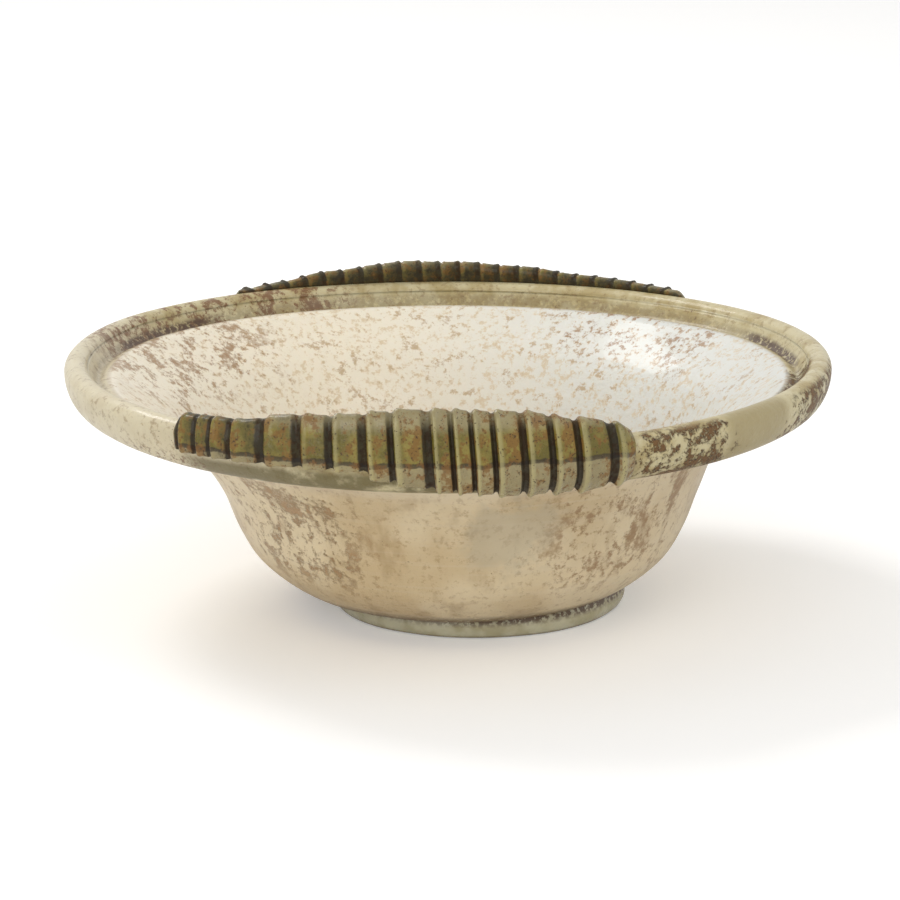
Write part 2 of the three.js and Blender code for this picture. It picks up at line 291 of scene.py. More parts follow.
half_wall = COLLAR_WALL / 2
tube_line = TUBE_RADIUS - half_wall
bead = [
    (LEDGE_RADIUS + out * BEAD_WIDTH, LEDGE_HEIGHT - half_wall - down * GROOVE_DEPTH)
    for out, down in BEAD_CURVE]
crest = [
    (TUBE_R + tube_line * math.cos(turn), TUBE_Z + tube_line * math.sin(turn))
    for turn in np.radians(np.linspace(CREST_START, 0, CREST_POINTS))]
collar = [
    (RIM_RADIUS - COLLAR_TUCK + (COLLAR_TUCK - half_wall) * math.cos(turn),
     TUBE_Z - (TUBE_Z - FOLD_HEIGHT - half_wall) * math.sin(turn))
    for turn in np.radians(np.linspace(0, 90, COLLAR_POINTS)[1:])]
edge_height = FOLD_HEIGHT + FOLD_RISE
edge = (np.interp(edge_height, wall_line[:, 1], wall_line[:, 0]) + FOLD_GAP + COLLAR_WALL, edge_height)
between = ((collar[-1][0] + edge[0]) / 2, (collar[-1][1] + edge[1]) / 2 - FOLD_SAG)
rim_line = spline([*bead, *crest, *collar, between, edge], RIM_STEPS)
rim_shares = np.linspace(0, 1, len(rim_line))

thickness = BASE_THICKNESS + (WALL - BASE_THICKNESS) * smooth(outside_line[:, 0], *THINNING)
inside_line = beside(outside_line, thickness)
inside_line[0, 0] = 0
root = BEAD_ROOT * (1 - smooth(rim_shares, 0, BEAD_ROOT_END))
under_line = beside(rim_line, -half_wall - root)
upper_line = beside(rim_line, np.full(len(rim_line), half_wall))
bowl_section, bowl_run = spaced(
    np.vstack([outside_line, under_line, upper_line[::-1], inside_line[::-1]]), BOWL_ROWS)
FOLD_RUN = bowl_run[len(outside_line) + len(under_line) - 1]  # along the section, to the fold's edge
BEAD_RUN = bowl_run[len(outside_line) + len(under_line) + len(upper_line) - 1]  # and to the bead


def off_true(sheet, given, vector):
    """The place of a point of the true shape once the glass has sunk: all sizes in metres."""
    x, y, z = sheet.parts(vector)
    share = sheet.step(z, given["True Below"], given["Rim Above"])
    radius = sheet.maths("SQRT", x * x + y * y)
    cosine = x / sheet.maths("MAXIMUM", radius, NEAR_AXIS)
    lift = given["Rim Saddle"] * (2 * cosine * cosine - 1) - given["Rim Tilt"] * cosine
    stretch = given["Rim Oval"] * share
    return sheet.point(
        x * (1 + stretch) + given["Body Offset"] * (1 - share), y * (1 - stretch), z + lift * share)


def swollen(sheet, shape, amount):
    """Moves the points of a shape along their own normals."""
    normal = sheet.node("GeometryNodeInputNormal")
    shift = sheet.node("ShaderNodeVectorMath", {"operation": "SCALE"}, {0: normal, "Scale": amount})
    return sheet.node("GeometryNodeSetPosition", {}, {"Geometry": shape, "Offset": shift})


def turned(sheet, given):
    """Turns a section, given as a row of points, round the Z axis and lets the glass sink."""
    grid = sheet.node("GeometryNodeMeshGrid", {}, {
        "Size X": 1.0, "Size Y": 1.0, "Vertices X": given["Columns"], "Vertices Y": given["Rows"]})
    place = sheet.node("GeometryNodeInputPosition")
    across, up, _ = sheet.parts(place)
    row = sheet.maths("ROUND", (up + 0.5) * (given["Rows"] - 1))
    point = sheet.node("GeometryNodeSampleIndex", {"data_type": "FLOAT_VECTOR"}, {
        "Geometry": given["Geometry"], "Value": place, "Index": row})
    radius, _, height = sheet.parts(point)
    turn = (across + 0.5) * math.tau
    true = sheet.point(radius * sheet.maths("COSINE", turn), radius * sheet.maths("SINE", turn), height)
    noted = sheet.node("GeometryNodeStoreNamedAttribute", {"data_type": "FLOAT"}, {
        "Geometry": grid, "Name": "run", "Value": (up + 0.5) * given["Section Length"]})
    placed = sheet.node("GeometryNodeSetPosition", {}, {
        "Geometry": noted, "Position": off_true(sheet, given, true)})
    closed = sheet.node("GeometryNodeMergeByDistance", {}, {"Geometry": placed, "Distance": MERGED_WITHIN})
    waver = sheet.noise(place, given["Wave Scale"], 1.0) - 0.5
    return swollen(sheet, closed, waver * given["Wave Height"])


def shaped(name, points, faces, marks, build, given, glass):
    """A piece from a base mesh in millimetres and a tree of geometry nodes, kept as a plain mesh."""
    base = bpy.data.meshes.new(name)
    base.from_pydata([tuple(MM * c for c in point) for point in points], [], faces)
    for mark, values in marks.items():
        base.attributes.new(mark, "FLOAT", "POINT").data.foreach_set("value", np.asarray(values, "f"))
    tree = bpy.data.node_groups.new(name, "GeometryNodeTree")
    sheet = Sheet(tree)
    tree.interface.new_socket("Geometry", in_out="OUTPUT", socket_type="NodeSocketGeometry")
    tree.interface.new_socket("Geometry", in_out="INPUT", socket_type="NodeSocketGeometry")
    kinds = {int: "NodeSocketInt", float: "NodeSocketFloat"}
    given = {**given, "Glass": glass}
    sockets = {
        label: tree.interface.new_socket(
            label, in_out="INPUT", socket_type=kinds.get(type(value), "NodeSocketMaterial"))
        for label, value in given.items()}
    entry = tree.nodes.new("NodeGroupInput")
    shape = build(sheet, {label: Reading(sheet, entry.outputs[label]) for label in ("Geometry", *given)})
    soft = sheet.node("GeometryNodeSetShadeSmooth", {}, {0: shape})
    whole = sheet.node("GeometryNodeRealizeInstances", {}, {0: soft})
    glazed = sheet.node("GeometryNodeSetMaterial", {}, {
        "Geometry": whole, "Material": Reading(sheet, entry.outputs["Glass"])})
    sheet.node("NodeGroupOutput", {}, {"Geometry": glazed})

    piece = linked(bpy.data.objects.new(name, base))
    modifier = piece.modifiers.new(name, "NODES")
    modifier.node_group = tree
    for label, value in given.items():
        modifier[sockets[label].identifier] = value
    graph = bpy.context.evaluated_depsgraph_get()
    mesh = bpy.data.meshes.new_from_object(
        piece.evaluated_get(graph), preserve_all_data_layers=True, depsgraph=graph)
    piece.modifiers.remove(modifier)
    piece.data = mesh
    bpy.data.meshes.remove(base)
    work = bmesh.new()
    work.from_mesh(mesh)
    if work.calc_volume(signed=True) < 0:
        bmesh.ops.reverse_faces(work, faces=work.faces)
    work.to_mesh(mesh)
    work.free()
    return piece


def new_paint(name):
    """A material's sheet, with the place on the piece in millimetres, whole and in its parts."""
    paint = bpy.data.materials.new(name)
    paint.use_nodes = True
    sheet = Sheet(paint.node_tree)
    metres = sheet.node("ShaderNodeTexCoord", output="Object")
    place = sheet.node("ShaderNodeVectorMath", {"operation": "SCALE"}, {0: metres, "Scale": 1 / MM})
    return paint, sheet, place, *sheet.parts(place)


GLASS = {  # what is the same all over each piece
    "IOR": 1.5,
    "Specular IOR Level": 0.3,
    "Subsurface Weight": 0.15,
    "Subsurface Radius": (1.0, 0.8, 0.5),
    "Subsurface Scale": 0.002,
    "Coat Roughness": 0.1,
}


def glazed(sheet, colour, roughness, height, relief, coat):
    """The shader that all the glass shares: a relief in metres under a thin gloss."""
    bump = sheet.node("ShaderNodeBump", {}, {"Strength": 1.0, "Distance": relief, "Height": height})
    shader = sheet.node("ShaderNodeBsdfPrincipled", {}, {
        **GLASS, "Base Color": colour, "Roughness": roughness, "Normal": bump, "Coat Weight": coat})
    sheet.node("ShaderNodeOutputMaterial", {}, {"Surface": shader})


def marked(sheet, under, mask, mark):
    """A colour with one more mark over it: how far the mark covers, and its shade."""
    cover, shade = mark
    return sheet.mix(cover * mask, under, srgb(*shade))


# Where the marks lie, seen from above: the middle of each, half its width, and how far its edge
# fades to either side, in degrees.
LEFT_STAIN = (232, 20, 8)
RIGHT_STAIN = (319, 20, 8)
LEFT_SOIL = (160, 24, 9)
BACK_SOIL = (54, 17, 7)
PALE_RIM = (205, 44, 10)
CLEAR_RIM = (326, 7, 1.5)
CRUSTED_RIM = [(311, 8, 4), (349, 16, 5)]
BACK_BAND = (144, 30, 6)
HANDLE_SOIL = [(267.5, 33, 4), (92, 37, 5)]
GROOVE_SOIL = [(154, 13, 3), (21, 11, 3)]
RIM_SPECKS = (230, 8, 4)

# How high they lie, in millimetres: a mark is away at the first height and whole at the second.
STAIN_FOOT = (10, 20)
STAIN_TOP = (46, 38)
SHOULDER_HEIGHTS = (39, 46)
FOOT_SOIL_HEIGHTS = (8.2, 5.2)
FOLD_SOIL_HEIGHTS = (48.2, 49.6)
LEFT_SOIL_HEIGHTS = (38, 48)
BACK_SOIL_HEIGHTS = (43, 50)
WELL_SOIL_HEIGHTS = (30, 8)
CRUST_HEIGHTS = (59.8, 58.6)
BACK_BAND_HEIGHTS = (53, 55)
HANDLE_SOIL_HEIGHTS = (54, 52)
GROOVE_HEIGHTS = (51, 53)
RIM_SPECKS_HEIGHTS = (54, 51)

# And how far out or across, in the same way.
FOOT_SOIL_RADII = (28, 31)
HANDLE_SOIL_RADII = (84.5, 86)
GROOVE_RADIUS = LEDGE_RADIUS + BEAD_CURVE[-1][0] * BEAD_WIDTH
GROOVE_REACH = 1.7
CREAM_TO_WHITE = (-45, 50)  # the inner wall is cream on the left and white on the right
PATCH_MIDDLE = (19, 30)  # a patch that the soil left clear, across and up
PATCH_REACH = (11, 8.5)
PATCH_DEPTHS = (-20, -30)
SEAM = 1.0  # how far the finish of one surface fades into the next, to either side

# Partly painted light: the inner wall is paler than the outer, and the outer's tan is partly painted shade.
WALL_SHADES = [srgb(208, 186, 146), srgb(226, 209, 174)]
INNER_SHADES = [srgb(240, 230, 208), srgb(219, 219, 212)]
RIM_SHADES = [srgb(202, 190, 150), srgb(176, 158, 110)]
BOWL_MARKS = {  # how far each covers what is under it, and its shade
    "streak": (0.4, (158, 128, 86)),
    "fleck": (0.42, (160, 126, 82)),
    "turning line": (0.15, (226, 214, 192)),
    "left stain": (0.6, (150, 104, 58)),
    "right stain": (0.6, (140, 98, 54)),
    "pale shoulder": (0.8, (226, 214, 192)),
    "clear patch": (0.9, (186, 176, 152)),
    "foot soil": (0.85, (96, 66, 38)),
    "fold soil": (0.8, (110, 84, 54)),
    "inner fleck": (0.6, (208, 182, 138)),
    "inner crust": (0.4, (156, 118, 70)),
    "left soil": (0.7, (148, 108, 62)),
    "back soil": (0.75, (142, 102, 62)),
    "well soil": (0.7, (190, 164, 128)),
    "pale rim": (0.7, (216, 205, 178)),
    "rim fleck": (0.45, (132, 100, 60)),
    "clear rim": (0.9, (167, 152, 111)),
    "crust": (0.92, (108, 74, 36)),
    "dark fleck": (0.9, (50, 36, 24)),
    "back band": (0.85, (120, 80, 44)),
    "handle soil": (0.85, (98, 88, 50)),
    "groove soil": (1.0, (78, 52, 30)),
    "rim speck": (0.8, (110, 76, 44)),
    "speck": (0.75, (92, 66, 42)),
}
BOWL_RELIEF = 0.0006
BOWL_COAT = 0.22

bowl_glass, paint, place, x, y, z = new_paint("weathered_bowl_glass")
run = paint.node("ShaderNodeAttribute", {"attribute_name": "run"}, output="Fac")
radius = paint.maths("SQRT", x * x + y * y)


def towards(angle, half, soft):
    """1 in the directions near an angle, seen from above, in degrees from +X."""
    cosine = (x * math.cos(math.radians(angle)) + y * math.sin(math.radians(angle))) / radius
    return paint.step(cosine, math.cos(math.radians(half + soft)), math.cos(math.radians(half - soft)))


def towards_either(spots):
    return paint.maths("MAXIMUM", *(towards(*spot) for spot in spots))


inside = paint.step(run, BEAD_RUN - SEAM, BEAD_RUN + SEAM)
rim = paint.step(run, FOLD_RUN - SEAM, FOLD_RUN + SEAM) * (1 - inside)

# The patterns that the marks follow, each with its scale to the millimetre, detail and roughness.
broad = paint.noise(place, 0.035, 3.0)
clouds = paint.noise(place, 0.13, 5.0, 0.6)
grains = paint.noise(place, 0.7, 4.0, 0.65)
dust = paint.noise(place, 1.6, 2.0)
pepper = paint.noise(place, 0.5, 6.0, 0.75)
streaks = paint.noise(paint.point(x, y, 0.22 * z), 0.16, 4.0, 0.55)
turning_lines = paint.noise(paint.point(0.25 * radius, 0.25 * radius, z), 0.9, 3.0)

# The outer wall's tan is partly the film and partly painted shade.
wall_colour = paint.mix(paint.step(broad, 0.4, 0.62), *WALL_SHADES)
wall_colour = marked(paint, wall_colour, paint.step(streaks, 0.5, 0.68), BOWL_MARKS["streak"])
wall_colour = marked(paint, wall_colour, paint.step(pepper, 0.52, 0.64), BOWL_MARKS["fleck"])
wall_colour = marked(paint, wall_colour, paint.step(turning_lines, 0.5, 0.7), BOWL_MARKS["turning line"])
ragged = paint.step(0.6 * streaks + 0.5 * clouds + 0.9 * pepper, 0.98, 1.14)
stain = paint.step(z, *STAIN_TOP) * paint.step(z, *STAIN_FOOT) * ragged
left_stain = towards(*LEFT_STAIN) * stain
wall_colour = marked(paint, wall_colour, left_stain, BOWL_MARKS["left stain"])
wall_colour = marked(paint, wall_colour, towards(*RIGHT_STAIN) * stain, BOWL_MARKS["right stain"])
wall_colour = marked(paint, wall_colour, paint.step(z, *SHOULDER_HEIGHTS), BOWL_MARKS["pale shoulder"])
patch_x = (x - PATCH_MIDDLE[0]) / PATCH_REACH[0]
patch_z = (z - PATCH_MIDDLE[1]) / PATCH_REACH[1]
patch_edge = paint.maths("SQRT", patch_x * patch_x + patch_z * patch_z) + 2.4 * (clouds - 0.5)
clean = 0.5 * paint.step(patch_edge, 1.35, 0.7) * paint.step(y, *PATCH_DEPTHS)
wall_colour = marked(paint, wall_colour, clean, BOWL_MARKS["clear patch"])
foot_soil = paint.step(z, *FOOT_SOIL_HEIGHTS) * paint.step(grains, 0.3, 0.5)
foot_soil = foot_soil * paint.step(radius, *FOOT_SOIL_RADII)
wall_colour = marked(paint, wall_colour, foot_soil, BOWL_MARKS["foot soil"])
wall_colour = marked(paint, wall_colour, paint.step(z, *FOLD_SOIL_HEIGHTS), BOWL_MARKS["fold soil"])

# The inner wall's pale base is partly its whitish film, partly painted light of the bright table.
inner_colour = paint.mix(paint.step(x, *CREAM_TO_WHITE), *INNER_SHADES)
inner_colour = marked(paint, inner_colour, paint.step(pepper, 0.5, 0.6), BOWL_MARKS["inner fleck"])
inner_crust = paint.step(pepper + 0.8 * clouds, 0.98, 1.08)
inner_colour = marked(paint, inner_colour, inner_crust, BOWL_MARKS["inner crust"])
left_soil = towards(*LEFT_SOIL) * paint.step(z, *LEFT_SOIL_HEIGHTS)
left_soil = left_soil * paint.step(clouds + pepper, 0.98, 1.12)
inner_colour = marked(paint, inner_colour, left_soil, BOWL_MARKS["left soil"])
back_soil = towards(*BACK_SOIL) * paint.step(z, *BACK_SOIL_HEIGHTS)
back_soil = back_soil * paint.step(0.5 * clouds + pepper, 0.76, 0.88)
inner_colour = marked(paint, inner_colour, back_soil, BOWL_MARKS["back soil"])
well_soil = paint.step(z, *WELL_SOIL_HEIGHTS) * paint.step(broad + 0.5 * clouds, 0.6, 0.9)
inner_colour = marked(paint, inner_colour, well_soil, BOWL_MARKS["well soil"])

rim_colour = paint.mix(paint.step(clouds, 0.38, 0.64), *RIM_SHADES)
rim_colour = marked(paint, rim_colour, towards(*PALE_RIM), BOWL_MARKS["pale rim"])
rim_colour = marked(paint, rim_colour, paint.step(pepper, 0.53, 0.62), BOWL_MARKS["rim fleck"])
rim_colour = marked(paint, rim_colour, towards(*CLEAR_RIM), BOWL_MARKS["clear rim"])
crust = 0.4 * towards_either(CRUSTED_RIM) + 1.7 * (pepper - 0.5) + 0.9 * (clouds - 0.5)
crust = paint.step(crust, 0.34, 0.5) * rim * paint.step(z, *CRUST_HEIGHTS)
rim_colour = marked(paint, rim_colour, crust, BOWL_MARKS["crust"])
rim_colour = marked(paint, rim_colour, crust * paint.step(dust, 0.56, 0.66), BOWL_MARKS["dark fleck"])
back_band = towards(*BACK_BAND) * paint.step(z, *BACK_BAND_HEIGHTS)
back_band = back_band * paint.step(0.5 * streaks + pepper, 0.7, 0.82)
rim_colour = marked(paint, rim_colour, back_band, BOWL_MARKS["back band"])
handle_soil = towards_either(HANDLE_SOIL) * paint.step(radius, *HANDLE_SOIL_RADII)
handle_soil = handle_soil * paint.step(z, *HANDLE_SOIL_HEIGHTS) * paint.step(clouds, 0.3, 0.5)
rim_colour = marked(paint, rim_colour, handle_soil, BOWL_MARKS["handle soil"])
groove = paint.band(radius, GROOVE_RADIUS, GROOVE_REACH) * paint.step(z, *GROOVE_HEIGHTS)
groove_soil = groove * (0.3 + 0.65 * towards_either(GROOVE_SOIL)) * paint.step(grains, 0.36, 0.52)
rim_colour = marked(paint, rim_colour, groove_soil, BOWL_MARKS["groove soil"])
rim_specks = towards(*RIM_SPECKS) * paint.step(z, *RIM_SPECKS_HEIGHTS)
rim_specks = rim_specks * paint.step(grains + 0.5 * dust, 0.76, 0.84)
rim_colour = marked(paint, rim_colour, rim_specks, BOWL_MARKS["rim speck"])

bowl_colour = paint.mix(rim, wall_colour, rim_colour)
bowl_colour = paint.mix(inside, bowl_colour, inner_colour)
specks = paint.step(dust, 0.68, 0.74) * paint.step(clouds, 0.5, 0.6) * (1 - 0.7 * inside) * (1 - clean)
bowl_colour = marked(paint, bowl_colour, specks, BOWL_MARKS["speck"])
bowl_roughness = 0.3 + 0.3 * clouds + 0.3 * crust - 0.15 * clean - 0.08 * inside
bowl_height = 0.35 * grains + 0.6 * clouds * (1 - clean) + 0.9 * crust * grains
bowl_height = bowl_height + 0.3 * left_stain * (1 - inside)
glazed(paint, bowl_colour, bowl_roughness, bowl_height, BOWL_RELIEF, BOWL_COAT)

OFF_TRUE = {  # how far the bowl has sunk, and with it the handles on its rim
    "Body Offset": BODY_OFFSET * MM,
    "Rim Saddle": RIM_SADDLE * MM,
    "Rim Tilt": RIM_TILT * MM,
    "Rim Oval": RIM_OVAL / RIM_RADIUS,
    "True Below": TRUE_BELOW * LEDGE_HEIGHT * MM,
    "Rim Above": RIM_ABOVE * LEDGE_HEIGHT * MM,
}
bowl = shaped(
    "blown_bowl", [(r, 0, h) for r, h in bowl_section], [], {}, turned, {
        "Columns": BOWL_COLUMNS,
        "Rows": BOWL_ROWS,
        "Section Length": float(bowl_run[-1]),
        "Wave Scale": BOWL_WAVE_SCALE,
        "Wave Height": BOWL_WAVE * MM,
        **OFF_TRUE,
    }, bowl_glass)
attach(bowl, "root")
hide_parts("bowl")

# The foot: a coil of the same glass, dropped round the base while hot and pressed level. It is
# clearer than the bowl, and soil fills the joint above it.
FOOT_RADIUS = 35.0
FOOT_WIDTH = 5.6
FOOT_FLAT = 2.6  # width of the ring that it stands on
FOOT_BULGE = 2.6  # height at which the coil is widest
FOOT_ROUND = 0.6
FOOT_TOP = 8.0
FOOT_OFFSET = 6.8
FOOT_MELT = 0.3  # how far the coil is melted into the bowl
FOOT_WAVE = 0.5
FOOT_WAVE_SCALE = 45.0
FOOT_STEPS = 8
FOOT_COLUMNS = 241
FOOT_ROWS = 49

foot_middle = FOOT_RADIUS - FOOT_WIDTH / 2
foot_inner = FOOT_RADIUS - FOOT_WIDTH
foot_loop = spline([
    (foot_middle - FOOT_FLAT / 2, 0), (foot_middle, 0), (foot_middle + FOOT_FLAT / 2, 0),
    (FOOT_RADIUS - FOOT_ROUND, FOOT_BULGE / 3), (FOOT_RADIUS, FOOT_BULGE),
    (FOOT_RADIUS - FOOT_ROUND, 2 * FOOT_BULGE), (FOOT_RADIUS - 3 * FOOT_ROUND, FOOT_TOP),
    (foot_inner + 3 * FOOT_ROUND, FOOT_TOP), (foot_inner, FOOT_BULGE),
    (foot_inner + FOOT_ROUND, FOOT_BULGE / 3)], FOOT_STEPS, closed=True)
foot_section, foot_run = spaced(np.vstack([foot_loop, foot_loop[:1]]), FOOT_ROWS)

JOINT_HEIGHTS = (2.6, 4.2)  # the soil in the joint begins at the first and is whole at the second
JOINT_SIDE = (-40, 20)  # and in the same way towards +X
WORN_HEIGHTS = (0.9, 0.2)
FOOT_SHADES = [srgb(206, 201, 172), srgb(184, 176, 142)]
FOOT_MARKS = {"joint soil": (0.9, (84, 56, 30)), "worn ring": (0.5, (120, 96, 66))}
FOOT_RELIEF = 0.0005
FOOT_COAT = 0.5

foot_glass, paint, place, x, y, z = new_paint("clear_foot_glass")
clouds = paint.noise(place, 0.16, 4.0)
grains = paint.noise(place, 0.9, 4.0, 0.6)
joint = paint.step(z + 1.6 * (grains - 0.5), *JOINT_HEIGHTS) * paint.step(grains, 0.4, 0.5)
joint = joint * paint.step(x, *JOINT_SIDE)
foot_colour = paint.mix(paint.step(clouds, 0.4, 0.65), *FOOT_SHADES)
foot_colour = marked(paint, foot_colour, joint, FOOT_MARKS["joint soil"])
foot_colour = marked(paint, foot_colour, paint.step(z, *WORN_HEIGHTS), FOOT_MARKS["worn ring"])
glazed(paint, foot_colour, 0.16 + 0.4 * joint, 0.5 * grains + 0.8 * clouds, FOOT_RELIEF, FOOT_COAT)

foot = shaped(
    "foot_coil", [(r, 0, h) for r, h in foot_section], [], {}, turned, {
        "Columns": FOOT_COLUMNS,
        "Rows": FOOT_ROWS,
        "Section Length": float(foot_run[-1]),
        "Body Offset": FOOT_OFFSET * MM,
        "Rim Saddle": 0.0,
        "Rim Tilt": 0.0,
        "Rim Oval": 0.0,
        "True Below": 1.0,
        "Rim Above": 2.0,
        "Wave Scale": FOOT_WAVE_SCALE,
        "Wave Height": FOOT_WAVE * MM,
    }, foot_glass)
for vertex in foot.data.vertices:
    reach = math.hypot(vertex.co.x / MM - BODY_OFFSET, vertex.co.y / MM)
    bowl_above = np.interp(reach, outside_line[:, 0], outside_line[:, 1]) + FOOT_MELT
    vertex.co.z = min(max(vertex.co.z, 0.0), bowl_above * MM)
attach(foot, "root")
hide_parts("foot_ring")

# The two handles: thick trails of olive glass pressed on the collar, so that a ledge of each stands
# above the crest, and crimped with pincers while soft. Soil fills the crimps' left feet.
TRAILS = {  # angles in degrees from the middle of the trail, and heights in millimetres
    "front": {
        "node": "front_handle", "middle": 270, "sense": 1, "start": -36.5, "end": 31.5,
        "top": [(-36.5, 62.3), (-27, 63), (-15, 65.8), (2, 68.1), (14, 67.4), (24, 64.8), (31.5, 62.1)],
        "low": [(-36.5, 54.3), (-7, 55), (-4, 52.8), (7, 50.1), (20, 48.1), (31.5, 50)],
        "crimps": [-34.8, -31.7, -29.2, -25.8, -20.4, -14.8, -10.4, -5.6, -2, 3.3, 6.1, 8.8, 11.8, 16,
                   19.8, 23.5, 28.9],
        "weak": (-30, 0),  # the crimps are weak up to the first of these angles, and full from the second
    },
    "back": {
        "node": "back_handle", "middle": 90, "sense": -1, "start": -41.5, "end": 36.6,
        "top": [(-41.5, 60), (-33, 61.4), (-25, 63), (-12, 64.8), (-4, 64.6), (7, 63.7), (17, 62.4),
                (36.6, 60.9)],
        "low": [(-41.5, 54.5), (-30, 53), (0, 52), (25, 52), (36.6, 53)],
        "crimps": [-38.4, -35.2, -32, -28.6, -25.4, -22.2, -18.9, -15.6, -12.4, -9, -5.9, -2.6, 0.7, 3.9,
                   7.2, 10.5, 13.8, 17, 20.3, 23.7, 27, 30.2, 33.4],
        "weak": (-44, -34),
    },
}
TRAIL_THICKNESS = 2.3
STAND_THICKNESS = 3.4
LEAST_STAND = 0.8
END_TAPER = 1.8  # degrees over which an end thins out
END_BODY = 0.3  # share of the thickness that is left at the very end
CRIMP_HEIGHT = 0.9
CRIMP_SCALLOP = 0.35
CRIMP_LEAN = 0.04  # degrees for each millimetre of height
CRIMP_MARGIN = 2.0  # degrees past an end to the next crimp, had there been one
WEAK_CRIMP = 0.45  # share of its height that a weak crimp has
CRIMP_SHAPE = [  # share of the way from one crimp to the next, and the relief there
    (0, 1), (0.08, 0.95), (0.2, 0.5), (0.42, 0.3), (0.64, 0.26), (0.72, -0.1), (0.79, -0.6),
    (0.88, -0.6), (0.95, 0.3), (1, 1)]
LOWEST_WRAP = 0.97
LOW_EDGE_SHARE = 0.4
SUNK = -0.15  # the trail is melted into the collar
SEAT_TURNS = (1, 0.84, 0.66, 0.44, 0.2)  # shares of the wrap, up the side that is fused to the collar
SKIN_TURNS = (0.3, 0.62, 0.88)  # and down the outer side
SHOULDER_DEGREES = [5, 30, 55, 80]
STAND_CURVE = [(0.3, 1), (0.7, 1), (1, 0.7)]  # over the stand, as shares of its thickness and its rise
STAND_ROOT = 0.1
STAND_ROOT_RISE = 0.75
SKIN_ROOT = 0.95  # share of the thickness where the skin leaves the stand
TRAIL_WAVER = 0.5
TRAIL_WAVER_SCALE = 120.0
TRAIL_STATIONS = 480
TRAIL_STEPS = 4
EXPOSED = [  # how far the crimps mark each point of the section
    0.2, 0, 0, 0, 0, 0, 0, 0, 0.05, 0.2, 0.4, 0.5, 0.9, 1, 1, 1, 1, 0.7]


def eased(pairs, x):
    """The value at x of a line through pairs, eased between them."""
    for (x0, y0), (x1, y1) in zip(pairs, pairs[1:]):
        if x <= x1:
            return y0 + (y1 - y0) * float(smooth(x, x0, x1))
    return pairs[-1][1]


def beside_collar(gap, thickness, turn):
    """Radius and height of a point outside the collar's oval face, by its turn downward."""
    out = COLLAR_TUCK + gap + thickness
    down = TUBE_Z - FOLD_HEIGHT + gap + LOW_EDGE_SHARE * thickness
    return RIM_RADIUS - COLLAR_TUCK + out * math.cos(turn), TUBE_Z - down * math.sin(turn)


def crimp_at(trail, angle):
    """The relief of the crimps: 1 on a ridge, and below 0 in the groove at its left foot."""
    crimps = [trail["start"] - CRIMP_MARGIN, *trail["crimps"], trail["end"] + CRIMP_MARGIN]
    place = int(np.clip(np.searchsorted(crimps, angle) - 1, 0, len(crimps) - 2))
    share = (angle - crimps[place]) / (crimps[place + 1] - crimps[place])
    shares, heights = zip(*CRIMP_SHAPE)
    strength = WEAK_CRIMP + (1 - WEAK_CRIMP) * float(smooth(angle, *trail["weak"]))
    return strength * float(np.interp(share, shares, heights))


def trail_section(trail, angle):
    """The handle's section as rows of radius and height, up its inner side and down outside."""
    from_end = min(angle - trail["start"], trail["end"] - angle)
    body = END_BODY + (1 - END_BODY) * math.sqrt(min(max(from_end / END_TAPER, 0.0), 1.0))
    thick = TRAIL_THICKNESS * body
    stand = STAND_THICKNESS * body
    drop = (TUBE_Z - eased(trail["low"], angle)) / (TUBE_Z - FOLD_HEIGHT)
    lowest = math.asin(min(drop, LOWEST_WRAP))
    seat = [beside_collar(SUNK, 0, share * lowest) for share in SEAT_TURNS]
    skin = [beside_collar(SUNK, thick, share * lowest) for share in SKIN_TURNS]
    hug = TUBE_RADIUS + SUNK
    shoulder = [
        (TUBE_R + hug * math.cos(turn), TUBE_Z + hug * math.sin(turn))
        for turn in np.radians(SHOULDER_DEGREES)]
    inner, foot_of_stand = shoulder[-1]
    scallop = CRIMP_SCALLOP * max(crimp_at(trail, angle), 0.0)
    rise = max((eased(trail["top"], angle) + scallop - foot_of_stand) * body, LEAST_STAND)
    return [
        *seat,
        *shoulder,
        (inner + STAND_ROOT, foot_of_stand + STAND_ROOT_RISE * rise),
        *((inner + across * stand, foot_of_stand + up * rise) for across, up in STAND_CURVE),
        (RIM_RADIUS + SUNK + SKIN_ROOT * thick, TUBE_Z + TUBE_RADIUS / 2),
        *skin,
        beside_collar(SUNK, thick / 2, lowest),
    ]


def crimped(sheet, given):
    """Raises a trail's crimps, gives it the waver of hand work, and lets it sink as the rim did."""
    bite = sheet.node("GeometryNodeInputNamedAttribute", {"data_type": "FLOAT"}, {"Name": "bite"})
    place = sheet.node("GeometryNodeInputPosition")
    waver = sheet.noise(place, given["Waver Scale"], 2.0) - 0.5
    raised = swollen(sheet, given["Geometry"], bite * given["Crimp Height"] + waver * given["Waver Height"])
    return sheet.node("GeometryNodeSetPosition", {}, {
        "Geometry": raised, "Position": off_true(sheet, given, place)})


# From these heights up the standing ledge is painted paler: painted light of the bright bowl seen through
# it.
PAINTED_STAND_LIGHT_HEIGHTS = (62.0, 65.0)
LOW_CRUST_HEIGHTS = (56.5, 55.5)
SEAM_HEIGHT = 56.0
SEAM_REACH = 0.7
SOIL_HEIGHTS = (66.5, 63.0)
HANDLE_SHADES = [srgb(102, 92, 34), srgb(140, 126, 58)]
HANDLE_MARKS = {
    # painted light: the bright bowl seen through the standing ledge
    "stand": (0.7, (164, 152, 116)),
    "low crust": (0.6, (172, 158, 124)),
    "seam": (0.8, (52, 40, 22)),
    # painted highlight along the crimps' ridges
    "ridge": (0.5, (182, 172, 122)),
    "ochre": (0.75, (122, 82, 32)),
    "soil": (0.88, (22, 13, 6)),
    "crumb": (0.8, (58, 40, 20)),
}
HANDLE_RELIEF = 0.0005
HANDLE_COAT = 0.18

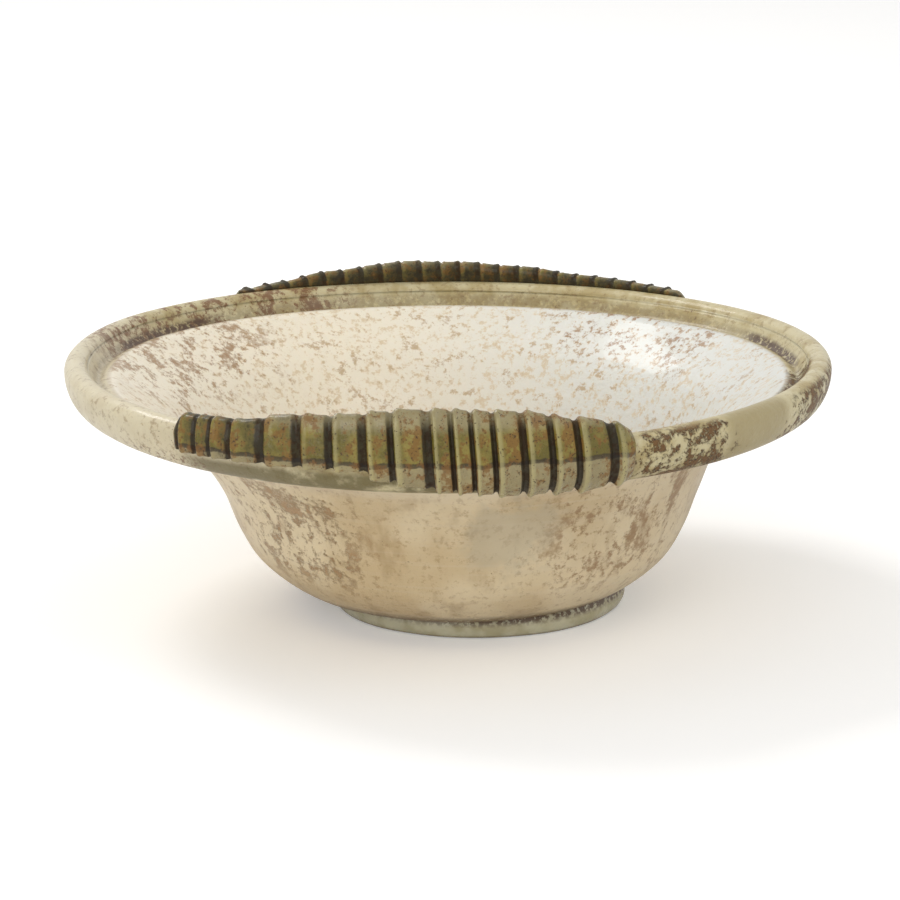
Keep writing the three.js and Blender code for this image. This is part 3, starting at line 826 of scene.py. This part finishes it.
handle_glass, paint, place, x, y, z = new_paint("olive_handle_glass")
bite = paint.node("ShaderNodeAttribute", {"attribute_name": "bite"}, output="Fac")
pepper = paint.noise(place, 0.5, 5.0, 0.7)
clouds = paint.noise(place, 0.15, 4.0, 0.6)
grains = paint.noise(place, 0.8, 4.0, 0.6)
dust = paint.noise(place, 1.8, 2.0)
uneven_height = z + 3 * (clouds - 0.5)
handle_colour = paint.mix(paint.step(clouds, 0.38, 0.62), *HANDLE_SHADES)
# Painted light: the standing ledge is paler, as if the bright bowl showed through the green glass.
handle_colour = marked(paint, handle_colour, paint.step(z, *PAINTED_STAND_LIGHT_HEIGHTS), HANDLE_MARKS["stand"])
low_crust = paint.step(uneven_height, *LOW_CRUST_HEIGHTS)
handle_colour = marked(paint, handle_colour, low_crust, HANDLE_MARKS["low crust"])
seam = paint.band(uneven_height, SEAM_HEIGHT, SEAM_REACH)
handle_colour = marked(paint, handle_colour, seam, HANDLE_MARKS["seam"])
# Painted highlight: the ridges of the crimps are lighter.
handle_colour = marked(paint, handle_colour, paint.step(bite, 0.5, 1.0), HANDLE_MARKS["ridge"])
ochre = paint.step(0.6 * clouds + pepper, 0.76, 0.9) * paint.step(bite, 0.9, 0.4)
handle_colour = marked(paint, handle_colour, ochre, HANDLE_MARKS["ochre"])
soil = paint.step(bite + 0.5 * (pepper - 0.5), 0.22, -0.02)
soil = soil * (0.4 + 0.6 * paint.step(z, *SOIL_HEIGHTS))
handle_colour = marked(paint, handle_colour, soil, HANDLE_MARKS["soil"])
crumbs = paint.step(dust, 0.58, 0.66) * paint.step(pepper, 0.46, 0.54)
handle_colour = marked(paint, handle_colour, crumbs, HANDLE_MARKS["crumb"])
handle_roughness = 0.22 + 0.3 * ochre + 0.45 * soil + 0.12 * clouds
glazed(paint, handle_colour, handle_roughness, 0.5 * grains + 0.5 * clouds, HANDLE_RELIEF, HANDLE_COAT)

for side, trail in TRAILS.items():
    rings, bites = [], []
    for angle in np.linspace(trail["start"], trail["end"], TRAIL_STATIONS):
        controls = [(*point, exposed) for point, exposed in zip(trail_section(trail, angle), EXPOSED)]
        turn = math.radians(trail["middle"] + trail["sense"] * angle)
        ring = spline(controls, TRAIL_STEPS, closed=True)
        for r, h, exposed in ring:
            rings.append((r * math.cos(turn), r * math.sin(turn), h))
            bites.append(exposed * crimp_at(trail, angle + CRIMP_LEAN * (h - CREST_HEIGHT)))
    count = len(ring)
    faces = [
        (i * count + k, i * count + (k + 1) % count, (i + 1) * count + (k + 1) % count, (i + 1) * count + k)
        for i in range(TRAIL_STATIONS - 1) for k in range(count)]
    faces.append(tuple(reversed(range(count))))
    faces.append(tuple((TRAIL_STATIONS - 1) * count + k for k in range(count)))
    handle = shaped(side + "_trail", rings, faces, {"bite": bites}, crimped, {
        "Crimp Height": CRIMP_HEIGHT * MM,
        "Waver Height": TRAIL_WAVER * MM,
        "Waver Scale": TRAIL_WAVER_SCALE,
        **OFF_TRUE,
    }, handle_glass)
    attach(handle, "root")
    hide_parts(trail["node"])
